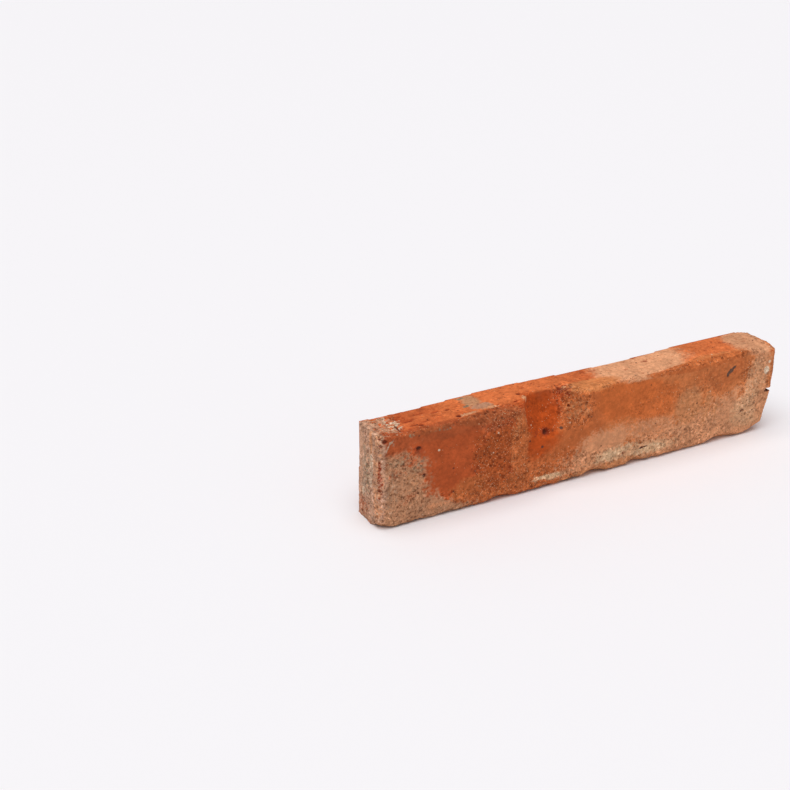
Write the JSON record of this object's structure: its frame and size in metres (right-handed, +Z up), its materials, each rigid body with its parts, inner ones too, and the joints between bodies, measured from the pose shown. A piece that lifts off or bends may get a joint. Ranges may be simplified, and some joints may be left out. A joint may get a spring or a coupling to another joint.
{
  "type": "brick slip",
  "caption": "Thin slip of weathered hand-moulded red clay brick, sawn flat at the back, with rounded corners, chipped arrises and a spall in its upper edge.",
  "frame": {"origin": "middle of the lower bed face, on the surface the slip stands on", "axes": "+X along the stretcher to the slip's right as seen from its weathered face, +Y from the weathered face to the sawn back, +Z up"},
  "size_m": [0.24, 0.023, 0.051],
  "materials": {
    "fired_clay": "rough sandy fired clay, orange red with buff and grey patches, unglazed"
  },
  "bodies": {
    "root": {"brick_slip": "fired_clay"}
  },
  "joints": []
}
